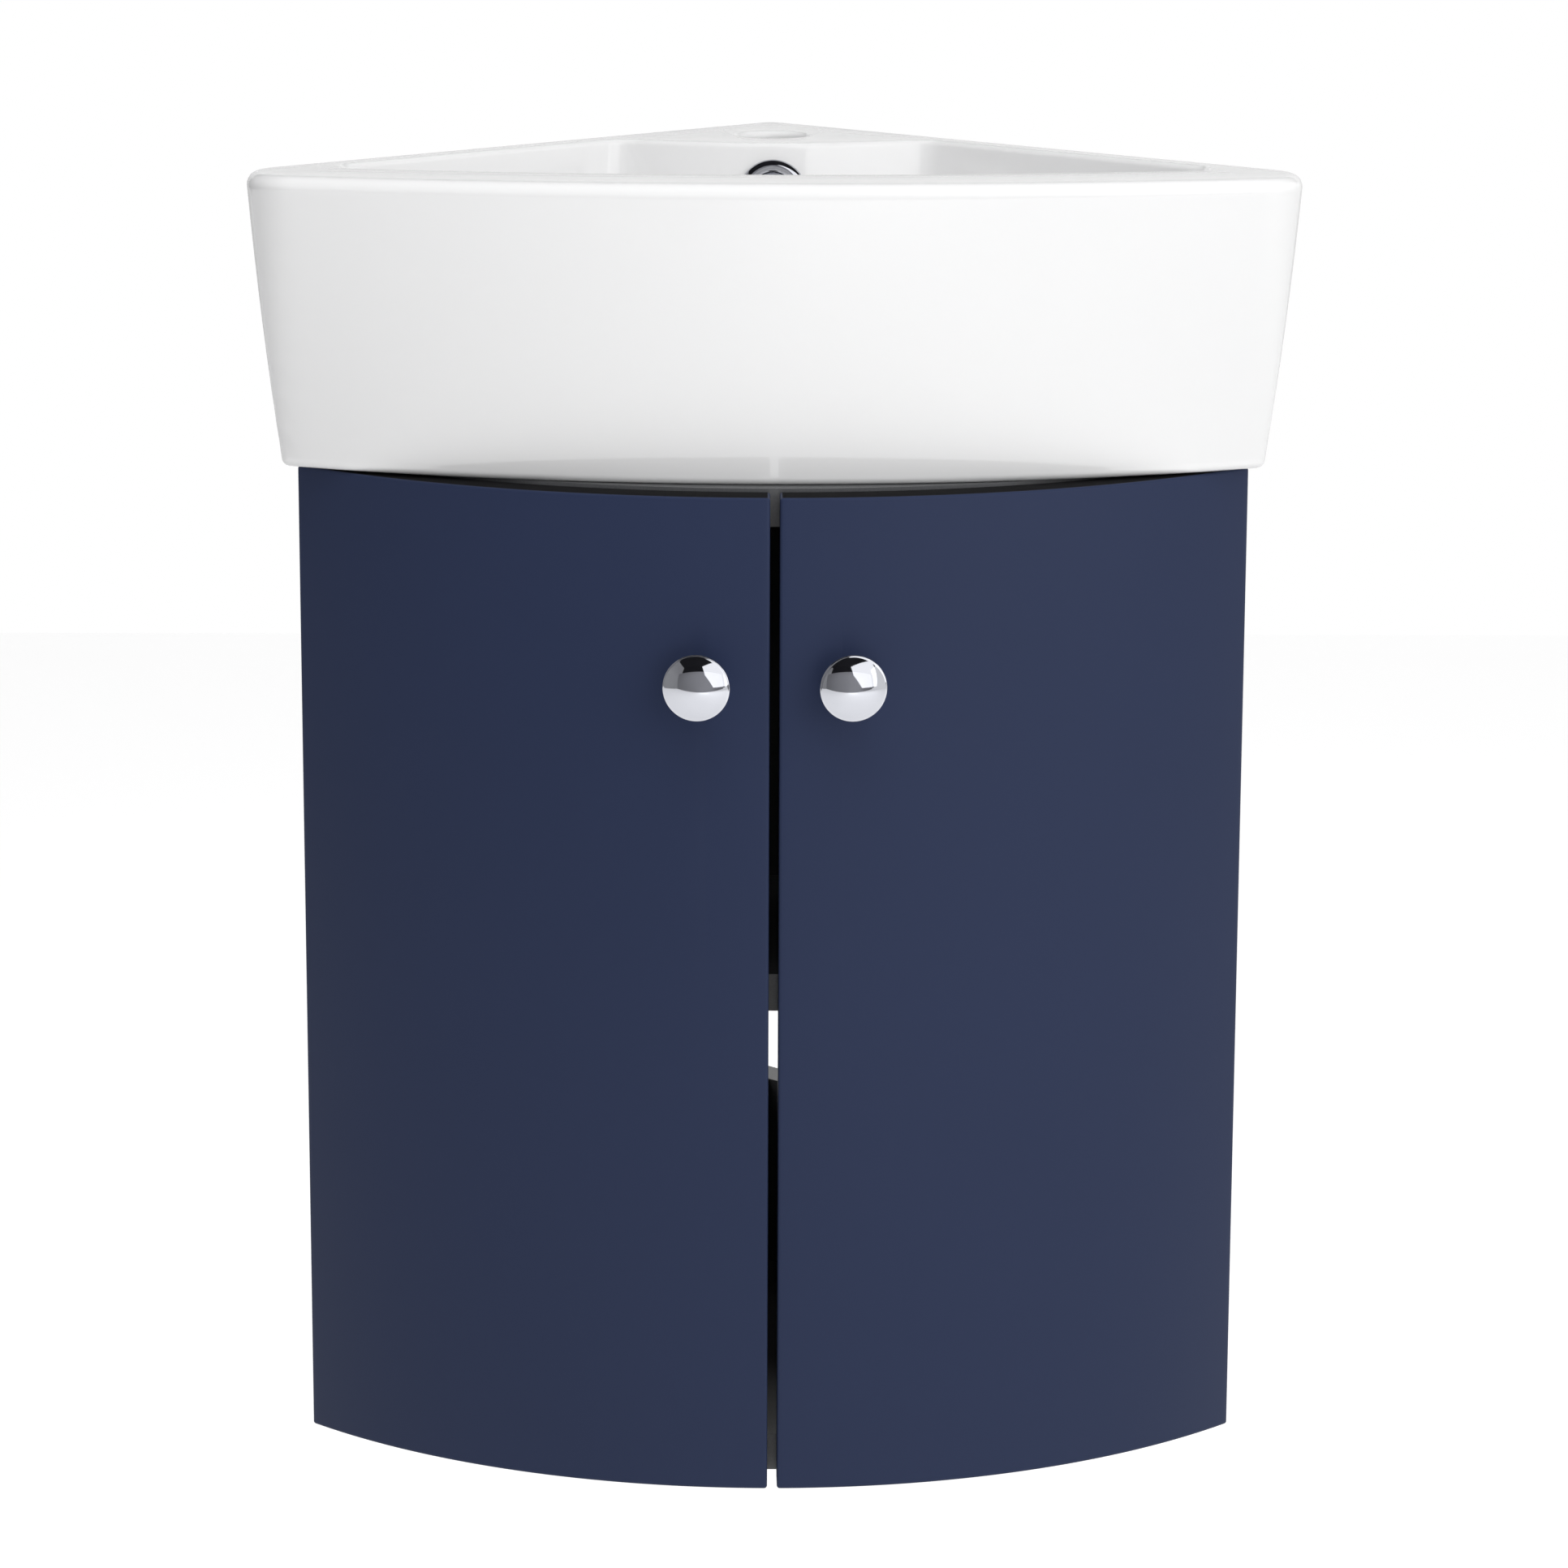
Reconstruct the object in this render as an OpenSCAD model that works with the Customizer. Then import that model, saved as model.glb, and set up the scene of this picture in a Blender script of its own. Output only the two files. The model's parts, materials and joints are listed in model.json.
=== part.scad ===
// Corner vanity unit: a ceramic basin on a quarter-round cabinet with two bowed doors.
// Millimetres, +Z up. The origin is where the two room walls meet, level with the
// bottom edges of the doors. The unit fills the corner, towards -Y, and is symmetric
// left to right but for the butt joint of its two side panels.

/* [Cabinet] */
// Radius of the doors' outer faces, about the room corner
door_radius = 323; // [300:1:340]
// Height of the doors
door_h = 482; // [460:1:520]
// Thickness of the doors
door_t = 18; // [17:0.5:20]
// Gap between the two doors where they meet
door_gap = 4.5; // [3:0.5:8]
// Rounding of the doors' edges
door_edge_r = 1.5; // [1:0.5:3]
// Thickness of the carcass boards
board_t = 18; // [16:1:19]
// Gap between the doors' inner faces and the carcass
door_clearance = 3; // [2.5:0.5:4]
// How far the doors hang below the carcass
door_drop = 2.5; // [1:0.5:6]
// Height of the shelf's underside
shelf_z = 232; // [228:1:280]

/* [Plumbing openings] */
// Length of the wall opening along each wall, from the corner
wall_opening_w = 110; // [80:1:120]
// Lower edge of the wall opening
wall_opening_z = 121; // [110:1:140]
// Height of the wall opening
wall_opening_h = 92; // [60:1:95]
// Radius of the cut-out in the top board round the waste
waste_cutout_r = 60; // [45:1:64]
// Radius of the shelf's corner notch for the pipes
shelf_notch_r = 100; // [70:1:120]

/* [Hinges] */
// Height of the lower hinges' centre, and of the upper ones below the doors' top
hinge_inset = 75; // [60:1:100]
// Distance of the pivot from the wall
pivot_from_wall = 6.5; // [6:0.1:7]
// Depth of the pivot behind the door's outer face
pivot_from_face = 3.5; // [3:0.1:4]
// Diameter of the hinge cups
cup_d = 35; // [35:1:40]
// Depth of the hinge cups in the door
cup_depth = 11.5; // [11:0.5:13]

/* [Knobs] */
// Diameter of the knobs' heads
knob_d = 31.4; // [25:0.2:35]
// How far the knobs stand off the doors
knob_reach = 25; // [20:1:30]
// Height of the knobs' axes
knob_z = 396; // [300:1:420]
// Angle of each knob from the middle of the unit, about the room corner
knob_angle = 6.1; // [5:0.05:12]

/* [Basin] */
// Height of the basin
basin_h = 142.5; // [135:0.5:160]
// Distance of the rim's front edge from the room corner, at the middle
rim_front = 315; // [305:1:320]
// Radius of the rim's front edge
rim_front_r = 900; // [800:10:1500]
// Radius of the rim's two wall-side corners
rim_corner_r = 29; // [22:1:36]
// Distance of the basin's bottom front edge from the room corner
foot_front = 294; // [290:1:310]
// Radius of the basin's bottom front edge
foot_front_r = 590; // [540:10:640]
// Rounding of the rim's outer edge
rim_edge_r = 6; // [5:1:12]
// Width of the rim along the walls
rim_side_w = 17; // [15:0.5:20]
// Width of the rim at the front
rim_front_w = 46; // [40:1:50]
// Depth of the bowl
bowl_depth = 104; // [95:1:108]
// Thickness of the ceramic
ceramic_t = 9; // [8:0.5:10]
// Distance of the tap deck's front edge from the room corner
deck_front = 121; // [114:1:126]
// Radius of the tap deck's front edge
deck_front_r = 140; // [120:5:160]
// Distance of the tap hole from the room corner
tap_hole_y = 76; // [70:1:80]
// Diameter of the tap hole
tap_hole_d = 35; // [32:1:36]
// Diameter of the waste hole
waste_hole_d = 45; // [44:1:46]
// Distance of the waste hole from the room corner
waste_y = 166; // [160:1:172]
// Diameter of the overflow ring
overflow_d = 34; // [30:1:36]
// Height of the overflow's centre below the rim
overflow_drop = 24.7; // [24.7:0.1:34]

/* [Hidden] */

$fn = 96;
cut = 1;                  // how far a cutter runs past the face that it cuts
far = 500;                // longer than any plan
slit = 0.01;              // thickness of a lofted slice

// Cabinet
door_inner_r = door_radius - door_t;
carcass_r = door_inner_r - door_clearance;
carcass_top = door_h + 1;
door_wall_gap = 0.8;        // between each door's outer end and the wall
door_mid_r = door_radius - door_t / 2;
meet_angle = asin(door_gap / 2 / door_mid_r);
wall_end_angle = 45 - asin(door_wall_gap / door_mid_r);
wall_opening_r = 8;       // rounding of the openings' inner corners
cutout_y = waste_y - 10;  // from the room corner to the middle of the top board's round cut-out
pipe_slot_w = 52;         // the slot from there back to the tap's tails
pipe_slot_back = 58;      // from the room corner to the slot's back end

// Hinges, in a side's own frame: x along the wall, y towards the wall
hinge_zs = [hinge_inset, door_h - hinge_inset];
panel_face = -board_t;    // inner face of a side panel
cup_wall_gap = 24.5;      // from the wall to the cup's centre
cup_angle = asin(cup_wall_gap / door_inner_r);
cup_flange_t = 1;
cup_seat = door_inner_r * cos(asin((cup_d / 2 + 1) / door_inner_r)) - 0.1;
cup_screw_pitch = 48;
plate_back = 37;          // from the panel's front edge to the plate's screws
plate_screw_pitch = 32;
plate_h = 8;              // height of the plate's bridge off the panel
arm_w = 12;

// Basin
basin_z = carcass_top;
rim_z = basin_z + basin_h;
foot_edge_r = 4;
foot_corner_r = 10;
apex_r = 6;               // rounding of the basin's upright edge in the room corner
bowl_front_r = 850;
bowl_corner_r = 15;
bowl_inset = 62;          // how far the bowl's floor is drawn in from its mouth
deck_centre_y = deck_front_r - deck_front;
deck_draft = 15;          // how far the deck's front wall leans out over the bowl's depth
deck_t = 14;
foot_wall_t = 11;
waste_boss_h = 18;        // depth of the ceramic round the waste hole
overflow_z = rim_z - overflow_drop;
overflow_hole_r = 12;
overflow_depth = 15;       // of the hole behind the deck's front wall
overflow_tilt = atan(deck_draft / bowl_depth);
overflow_y = deck_centre_y - deck_r(overflow_drop);

// Fixings
dowel_r = 4;
dowel_l = 30;
dowel_in_panel = 10;
dowel_us = [60, 160, 260];            // along the wall, from the corner
wall_fixing_us = [70, 240];
wall_fixing_z = 440;
wall_fixing_r = 3.5;
shelf_pin_us = [130, 262];
shelf_pin_r = 2.5;
corner_screw_zs = [50, 262, 350, 440];
fit_gap = 0.05;                       // round a dowel, pin or screw in its hole

// The right door turns about this upright axis, and the left one about its mirror image.
pivot_along_wall = door_radius - pivot_from_face;
echo(pivot_x = (pivot_along_wall - pivot_from_wall) / sqrt(2),
     pivot_y = -(pivot_along_wall + pivot_from_wall) / sqrt(2));

// ---- Frames ----

// The right wall's frame: x runs along the wall from the corner, -y off the wall.
module at_right() rotate([0, 0, -45]) children();

// The left wall's frame is the right one's mirror image.
module at_left() mirror([1, 0, 0]) at_right() children();

// A place on the right door: x points out of the door at this angle from the middle.
module on_door(angle, z) rotate([0, 0, angle - 90]) translate([0, 0, z]) children();

// ---- Plans of the carcass ----

// The quarter disc that the carcass fills, less the two side panels.
module board_plan(gap = 0) {
    intersection() {
        circle(r = carcass_r - gap);
        walls_plan(board_t + gap);
    }
}

module dowel_row(z) {
    for (side = [0, 1]) mirror([side, 0, 0]) at_right() for (u = dowel_us)
        translate([u, panel_face + dowel_in_panel - dowel_l, z]) rotate([-90, 0, 0])
            cylinder(r = dowel_r, h = dowel_l);
}

// Blind holes in a board's two edges.
module board_dowel_holes(z) {
    for (side = [0, 1]) mirror([side, 0, 0]) at_right() for (u = dowel_us)
        translate([u, panel_face - (dowel_l - dowel_in_panel) - fit_gap, z]) rotate([-90, 0, 0])
            cylinder(r = dowel_r + fit_gap, h = dowel_l);
}

// ---- Boards ----

module bottom_board() {
    color([0.30, 0.30, 0.32]) difference() {
        translate([0, 0, door_drop]) linear_extrude(board_t) board_plan();
        board_dowel_holes(door_drop + board_t / 2);
    }
}

// The top board has a keyhole cut-out: round for the waste, and back to the tap's tails.
module top_board() {
    color([0.30, 0.30, 0.32]) difference() {
        translate([0, 0, carcass_top - board_t]) linear_extrude(board_t) board_plan();
        translate([0, -cutout_y, carcass_top - board_t - cut])
            cylinder(r = waste_cutout_r, h = board_t + 2 * cut);
        translate([-pipe_slot_w / 2, -cutout_y, carcass_top - board_t - cut])
            cube([pipe_slot_w, cutout_y - pipe_slot_back, board_t + 2 * cut]);
        board_dowel_holes(carcass_top - board_t / 2);
    }
}

// The shelf is loose on its pins, and notched at the corner for the pipes.
module shelf() {
    color([0.30, 0.30, 0.32]) difference() {
        translate([0, 0, shelf_z]) linear_extrude(board_t) board_plan(0.5);
        translate([0, 0, shelf_z - cut]) cylinder(r = shelf_notch_r, h = board_t + 2 * cut);
    }
}

// ---- Side panels ----

// The opening for the pipes, with rounded inner corners, through one panel.
module wall_opening() {
    r = wall_opening_r;
    w = wall_opening_w;
    h = wall_opening_h;
    translate([0, cut, wall_opening_z]) rotate([90, 0, 0]) linear_extrude(board_t + 2 * cut) {
        translate([-cut, 0]) square([w - r + cut, h]);
        translate([0, r]) square([w, h - 2 * r]);
        for (z = [r, h - r]) translate([w - r, z]) circle(r = r);
    }
}

// A panel from start to its front edge, with its holes.
module side_panel(start) {
    difference() {
        translate([start, -board_t, door_drop])
            cube([carcass_r - start, board_t, carcass_top - door_drop]);
        wall_opening();
        for (z = [door_drop + board_t / 2, carcass_top - board_t / 2], u = dowel_us)
            translate([u, panel_face - cut, z]) rotate([-90, 0, 0])
                cylinder(r = dowel_r + fit_gap, h = cut + dowel_in_panel + fit_gap);
        for (u = wall_fixing_us)
            translate([u, cut, wall_fixing_z]) rotate([90, 0, 0])
                cylinder(r = wall_fixing_r, h = board_t + 2 * cut);
        for (u = shelf_pin_us)
            translate([u, panel_face - cut, shelf_z - shelf_pin_r]) rotate([-90, 0, 0])
                cylinder(r = shelf_pin_r + fit_gap, h = cut + 10);
        for (z = hinge_zs, side = [-1, 1])
            translate([carcass_r - plate_back, panel_face - cut, z + side * plate_screw_pitch / 2])
                rotate([-90, 0, 0]) cylinder(r = 1.8, h = cut + 13);
    }
}

// The right panel runs through to the corner and takes the countersunk screws.
module side_panel_right() {
    color([0.42, 0.42, 0.44]) at_right() difference() {
        side_panel(0);
        for (z = corner_screw_zs) corner_screw(z, fit_gap);
    }
}

// The left panel butts against the right one.
module side_panel_left() {
    color([0.42, 0.42, 0.44]) difference() {
        at_left() side_panel(board_t);
        at_right() for (z = corner_screw_zs) corner_screw(z, fit_gap);
    }
}

// ---- Fixings of the carcass ----

// One screw of the corner joint, countersunk flush with the wall side of the right panel.
module corner_screw(z, gap) {
    shank_r = 2;
    head_r = 4;
    head_l = 3;
    translate([board_t / 2, -0.5, z]) rotate([90, 0, 0]) {
        cylinder(r = shank_r + gap, h = 45 + gap);
        cylinder(r1 = head_r + gap, r2 = shank_r + gap, h = head_l);
        translate([0, 0, -0.5 * sign(gap) - gap]) cylinder(r = head_r + gap, h = 0.5 * sign(gap) + gap + 0.01);
    }
}

module corner_screws() {
    color("silver") at_right() for (z = corner_screw_zs) corner_screw(z, 0);
}

module dowels() {
    color("burlywood") {
        dowel_row(door_drop + board_t / 2);
        dowel_row(carcass_top - board_t / 2);
    }
}

// Steel pins with a collar, under the shelf's edges.
module shelf_pins() {
    color("silver") for (side = [0, 1]) mirror([side, 0, 0]) at_right() for (u = shelf_pin_us)
        translate([u, panel_face, shelf_z - shelf_pin_r]) {
            rotate([-90, 0, 0]) translate([0, 0, -9]) cylinder(r = shelf_pin_r, h = 18);
            rotate([-90, 0, 0]) translate([0, 0, -2]) intersection() {
                cylinder(r = 4.5, h = 2);
                translate([-5, -shelf_pin_r, 0]) cube([10, 10, 2]);
            }
        }
}

// ---- Hinges ----

// The mounting plate: a bridge along the arm, and two wings with screw holes.
module hinge_plate(z) {
    u = carcass_r - plate_back;
    color([0.75, 0.76, 0.78]) translate([u, panel_face, z]) difference() {
        union() {
            translate([-24, -plate_h, -5]) cube([46, plate_h, 10]);
            rotate([90, 0, 0]) for (side = [-1, 1]) translate([0, side * plate_screw_pitch / 2, 0])
                cylinder(r = 6.5, h = 2);
            translate([-6.5, -2, -plate_screw_pitch / 2]) cube([13, 2, plate_screw_pitch]);
        }
        for (side = [-1, 1]) translate([0, cut, side * plate_screw_pitch / 2])
            rotate([90, 0, 0]) cylinder(r = 2.2, h = 2 + 2 * cut);
    }
}

// The arm: a pressed channel over the bridge, cranked down into the door's cup.
module hinge_arm(z) {
    u = carcass_r - plate_back;
    base = panel_face - plate_h;
    neck_low = 3.3;
    tip_x = door_inner_r + 7 - u;
    color([0.80, 0.81, 0.83]) translate([u, base, z]) difference() {
        translate([0, 0, -arm_w / 2]) linear_extrude(arm_w) polygon([
            [-24, 0], [-24, -5], [-20, -7], [14, -8], [30, -8], [tip_x - 2, -4.5], [tip_x, -2],
            [tip_x, neck_low + 1.4], [tip_x - 2, neck_low + 1.4], [30, -1], [22, 0]]);
        for (x = [-14, 6]) translate([x, cut, 0]) rotate([90, 0, 0])
            cylinder(r = 2.2, h = 12);
        translate([16, -9, -arm_w / 2 + 2]) cube([12, 4, arm_w - 4]);
    }
}

// Round-headed screws through a plate's wings into the panel.
module plate_screws() {
    color("silver") for (side = [0, 1]) mirror([side, 0, 0]) at_right()
        for (z = hinge_zs, wing = [-1, 1])
            translate([carcass_r - plate_back, panel_face - 2, z + wing * plate_screw_pitch / 2])
                rotate([-90, 0, 0]) {
                    cylinder(r = 1.75, h = 14);
                    translate([0, 0, -1.8]) cylinder(r1 = 2.2, r2 = 3.6, h = 1.8);
                }
}

// The pressed cup, with a flange screwed to the door's inner face.
module hinge_cup(z) {
    r = cup_d / 2 - 0.1;
    color([0.75, 0.76, 0.78]) rotate([0, 0, -cup_angle]) translate([cup_seat, 0, z])
        rotate([0, 90, 0]) difference() {
            union() {
                cylinder(r = r, h = cup_depth);
                translate([0, 0, -cup_flange_t]) {
                    cylinder(r = cup_d / 2 + 1, h = cup_flange_t);
                    for (side = [-1, 1]) translate([side * cup_screw_pitch / 2, 0, 0])
                        cylinder(r = 6, h = cup_flange_t);
                    translate([-cup_screw_pitch / 2, -6, 0]) cube([cup_screw_pitch, 12, cup_flange_t]);
                }
            }
            translate([0, 0, -cup_flange_t - cut]) cylinder(r = r - 1, h = cup_depth + cut);
            for (side = [-1, 1]) translate([side * cup_screw_pitch / 2, 0, -cup_flange_t - cut])
                cylinder(r = 1.9, h = cup_flange_t + 2 * cut);
        }
}

module cup_screw_row() {
    for (z = hinge_zs, side = [-1, 1]) rotate([0, 0, -cup_angle])
        translate([cup_seat - cup_flange_t, 0, z + side * cup_screw_pitch / 2]) rotate([0, 90, 0]) {
            cylinder(r = 1.7, h = 12);
            translate([0, 0, -1.4]) cylinder(r1 = 2, r2 = 3.4, h = 1.4);
        }
}

module cup_screws_right() color("silver") at_right() cup_screw_row();
module cup_screws_left() color("silver") at_left() cup_screw_row();

// ---- Doors ----

// The door's section: its thickness and height, with rounded corners.
module door_section() {
    r = door_edge_r;
    translate([door_inner_r, r]) square([door_t, door_h - 2 * r]);
    translate([door_inner_r + r, 0]) square([door_t - 2 * r, door_h]);
    for (x = [r, door_t - r], z = [r, door_h - r]) translate([door_inner_r + x, z]) circle(r = r);
}

// The door seen from above, between two radial ends, each with two rounded upright edges.
module door_plan() {
    r = door_edge_r;
    edge_angle = asin(r / door_mid_r);
    first = meet_angle + edge_angle;
    last = wall_end_angle - edge_angle;
    difference() {
        circle(r = door_radius);
        circle(r = door_inner_r);
        rotate(last - 90) translate([-far, 0]) square([2 * far, far]);
        rotate(first - 90) translate([-far, -far]) square([2 * far, far]);
    }
    for (a = [first, last]) rotate(a - 90) {
        translate([door_inner_r + r, -r]) square([door_t - 2 * r, 2 * r]);
        for (x = [r, door_t - r]) translate([door_inner_r + x, 0]) circle(r = r);
    }
}

// The right door: a bowed slab about the room corner, bored for its hinges and knob.
module door() {
    difference() {
        intersection() {
            linear_extrude(door_h) door_plan();
            rotate_extrude() door_section();
        }
        for (z = hinge_zs) at_right() rotate([0, 0, -cup_angle]) translate([cup_seat, 0, z])
            rotate([0, 90, 0]) {
                translate([0, 0, -cut]) cylinder(r = cup_d / 2, h = cup_depth + cut + 0.1);
                for (side = [-1, 1]) translate([side * cup_screw_pitch / 2, 0, -cut])
                    cylinder(r = 1.75, h = 12 + cut);
            }
        on_door(knob_angle, knob_z) translate([door_inner_r - cut, 0, 0]) rotate([0, 90, 0])
            cylinder(r = 2.3, h = door_t + 2 * cut);
    }
}

module door_right() color([0.18, 0.22, 0.32]) door();
module door_left() color([0.18, 0.22, 0.32]) mirror([1, 0, 0]) door();

// The knob: a slim stem that flares into a lipped, domed head.
module knob() {
    head_r = knob_d / 2;
    lip = 2;
    dome_h = 6;
    dome_r = (head_r * head_r + dome_h * dome_h) / (2 * dome_h);
    head_back = knob_reach - dome_h - lip;
    on_door(knob_angle, knob_z) translate([door_radius + 0.05, 0, 0]) rotate([0, 90, 0]) difference() {
        rotate_extrude() {
            square([7.5, 1.5]);
            square([5, head_back]);
            polygon([[0, 1.5], [7, 1.5], [5.2, 6], [5.2, 9], [head_r - 2, head_back], [0, head_back]]);
            translate([0, head_back]) square([head_r, lip]);
            intersection() {
                translate([0, knob_reach - dome_r]) circle(r = dome_r);
                translate([0, head_back + lip]) square([head_r, dome_h]);
            }
        }
        translate([0, 0, -cut]) cylinder(r = 2.05, h = 12 + cut);
    }
}

module knob_right() color([0.85, 0.85, 0.87]) knob();
module knob_left() color([0.85, 0.85, 0.87]) mirror([1, 0, 0]) knob();

// A pan-headed machine screw from inside the door.
module knob_screw() {
    head_l = 2.6;
    on_door(knob_angle, knob_z) translate([door_inner_r - 0.05, 0, 0]) rotate([0, 90, 0]) difference() {
        union() {
            translate([0, 0, -head_l]) cylinder(r1 = 3, r2 = 4, h = head_l);
            cylinder(r = 2, h = door_t + 10);
        }
        translate([-2.5, -0.5, -head_l - cut]) cube([5, 1, cut + 1.2]);
        translate([-0.5, -2.5, -head_l - cut]) cube([1, 5, cut + 1.2]);
    }
}

module knob_screw_right() color("silver") knob_screw();
module knob_screw_left() color("silver") mirror([1, 0, 0]) knob_screw();

// Two soft domes inside the door's meeting edge, over the edges of the boards.
module bumper_pair() {
    for (z = [door_drop + board_t / 2, door_h - board_t / 2]) on_door(meet_angle + 1.8, z)
        translate([door_inner_r - 0.05, 0, 0]) rotate([0, -90, 0]) {
            cylinder(r = 4, h = 1.2);
            translate([0, 0, 1.2]) cylinder(r1 = 4, r2 = 2.6, h = 1.2);
        }
}

module bumpers_right() color([0.8, 0.8, 0.78]) bumper_pair();
module bumpers_left() color([0.8, 0.8, 0.78]) mirror([1, 0, 0]) bumper_pair();

// ---- Basin ----

// A corner plan: two straight sides along the walls and one arched front, with rounder
// ends than its apex.
module corner_plan(side_gap, front, front_r, corner_r, inset) {
    gap = side_gap + inset;
    offset(r = corner_r, $fn = 32) offset(delta = -corner_r - inset) intersection() {
        walls_plan(side_gap);
        translate([0, front_r - front]) circle(r = front_r, $fn = 240);
    }
    offset(r = apex_r, $fn = 32) offset(delta = -apex_r) intersection() {
        walls_plan(gap);
        circle(r = front / 2);
    }
}

// The quadrant between the walls, drawn in from both by a gap.
module walls_plan(gap) rotate(-45) translate([gap, -gap - far]) square([far, far]);

module slice(z) translate([0, 0, z]) linear_extrude(slit) children();

// The outer form: lofted from the foot's round front to the rim's flat one.
module basin_outside() {
    hull() {
        slice(basin_z) corner_plan(0, foot_front, foot_front_r, foot_corner_r, foot_edge_r);
        slice(basin_z + foot_edge_r) corner_plan(0, foot_front, foot_front_r, foot_corner_r, 0);
        for (a = [0, 30, 60, 90])
            slice(rim_z - slit - rim_edge_r * (1 - sin(a)))
                corner_plan(0, rim_front, rim_front_r, rim_corner_r, rim_edge_r * (1 - cos(a)));
    }
}

// The bowl's form, grown by a wall thickness for the ceramic round it.
module bowl_form(grow) {
    hull() for (a = [0, 22, 44, 66, 90])
        slice(rim_z - (bowl_depth + grow) * sin(a) + (a == 0 ? cut : 0))
            corner_plan(rim_side_w - grow, rim_front - rim_front_w + grow, bowl_front_r,
                        bowl_corner_r + bowl_inset * (1 - cos(a)) / 3, bowl_inset * (1 - cos(a)));
}

// Radius of the deck's leaning front wall at a depth below the rim.
function deck_r(depth) = deck_front_r + deck_draft * depth / bowl_depth;

// The deck's leaning front wall, which stands in the bowl.
module deck_form(shrink) {
    depth = bowl_depth + 2 * ceramic_t;
    translate([0, deck_centre_y, rim_z - depth])
        cylinder(r1 = deck_r(depth) - shrink, r2 = deck_r(-cut) - shrink, h = depth + cut);
}

module bowl_cavity() difference() {
    bowl_form(0);
    deck_form(0);
}

// The open underside, round the outside of the bowl.
module basin_underside() difference() {
    translate([0, 0, basin_z - cut]) linear_extrude(basin_h - deck_t + cut)
        corner_plan(0, foot_front, foot_front_r, foot_corner_r, foot_wall_t);
    difference() {
        bowl_form(ceramic_t);
        deck_form(ceramic_t);
    }
    translate([0, -waste_y, basin_z - cut]) cylinder(r = waste_hole_d / 2 + 10, h = basin_h);
    on_overflow() translate([0, 0, -overflow_depth - 7]) cylinder(r = overflow_hole_r + 8, h = 18);
}

// A place on the deck's front wall: z points out of the overflow.
module on_overflow() {
    translate([0, overflow_y, overflow_z]) rotate([90 - overflow_tilt, 0, 0]) children();
}

module basin() {
    color([0.95, 0.95, 0.94]) difference() {
        basin_outside();
        bowl_cavity();
        basin_underside();
        translate([0, -tap_hole_y, basin_z]) cylinder(d = tap_hole_d, h = basin_h + cut);
        translate([0, -waste_y, basin_z - cut]) cylinder(d = waste_hole_d, h = basin_h);
        on_overflow() translate([0, 0, -overflow_depth]) cylinder(r = overflow_hole_r, h = 30);
        translate([0, -waste_y, basin_z - cut])
            cylinder(r = waste_hole_d / 2 + 12, h = basin_h - bowl_depth - waste_boss_h + cut);
    }
}

// The chrome ring: a domed flange on the ceramic, and a stepped sleeve in the hole.
module overflow_ring() {
    r = overflow_d / 2;
    sleeve_r = overflow_hole_r - 0.2;
    color([0.85, 0.85, 0.87]) on_overflow() rotate_extrude() {
        translate([sleeve_r - 1.3, -12]) square([1.3, 12.2]);
        translate([sleeve_r - 4, -9]) square([4, 1.5]);
        polygon([[sleeve_r - 1.3, 0.15], [r, 0.15], [r, 1], [r - 1.2, 2.2], [r - 2.6, 2.6],
                 [sleeve_r - 0.3, 1.6], [sleeve_r - 1.3, 0.8]]);
    }
}

basin();
overflow_ring();
top_board();
shelf();
bottom_board();
side_panel_right();
side_panel_left();
corner_screws();
dowels();
shelf_pins();
at_right() hinge_plate(hinge_zs[0]);  // hinge_plate_right_lower
at_right() hinge_plate(hinge_zs[1]);  // hinge_plate_right_upper
at_left() hinge_plate(hinge_zs[0]);  // hinge_plate_left_lower
at_left() hinge_plate(hinge_zs[1]);  // hinge_plate_left_upper
plate_screws();
at_right() hinge_arm(hinge_zs[0]);  // hinge_arm_right_lower
at_right() hinge_arm(hinge_zs[1]);  // hinge_arm_right_upper
at_left() hinge_arm(hinge_zs[0]);  // hinge_arm_left_lower
at_left() hinge_arm(hinge_zs[1]);  // hinge_arm_left_upper
door_right();
knob_right();
knob_screw_right();
at_right() hinge_cup(hinge_zs[0]);  // hinge_cup_right_lower
at_right() hinge_cup(hinge_zs[1]);  // hinge_cup_right_upper
cup_screws_right();
bumpers_right();
door_left();
knob_left();
knob_screw_left();
at_left() hinge_cup(hinge_zs[0]);  // hinge_cup_left_lower
at_left() hinge_cup(hinge_zs[1]);  // hinge_cup_left_upper
cup_screws_left();
bumpers_left();
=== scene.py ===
# %% [markdown]
# # A corner vanity unit
#
# The real thing is a small washbasin for the corner of a room: a white glazed ceramic basin
# with two straight sides against the walls, on a cabinet whose plan is a quarter of a circle.
# Two bowed doors in satin navy lacquer close the front, each with one chrome knob.
# The carcass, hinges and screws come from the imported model. This file remakes the pieces whose
# curves carry reflections, gives every surface its finish, and lights the scene.
#
# Blender works in metres. The origin is where the two walls meet, level with the doors'
# bottom edges. +Z is up, -Y points out of the corner, and +X is to the viewer's right.

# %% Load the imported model
import json
import math

import bmesh
import bpy
import numpy as np
from mathutils import Matrix, Vector


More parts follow.
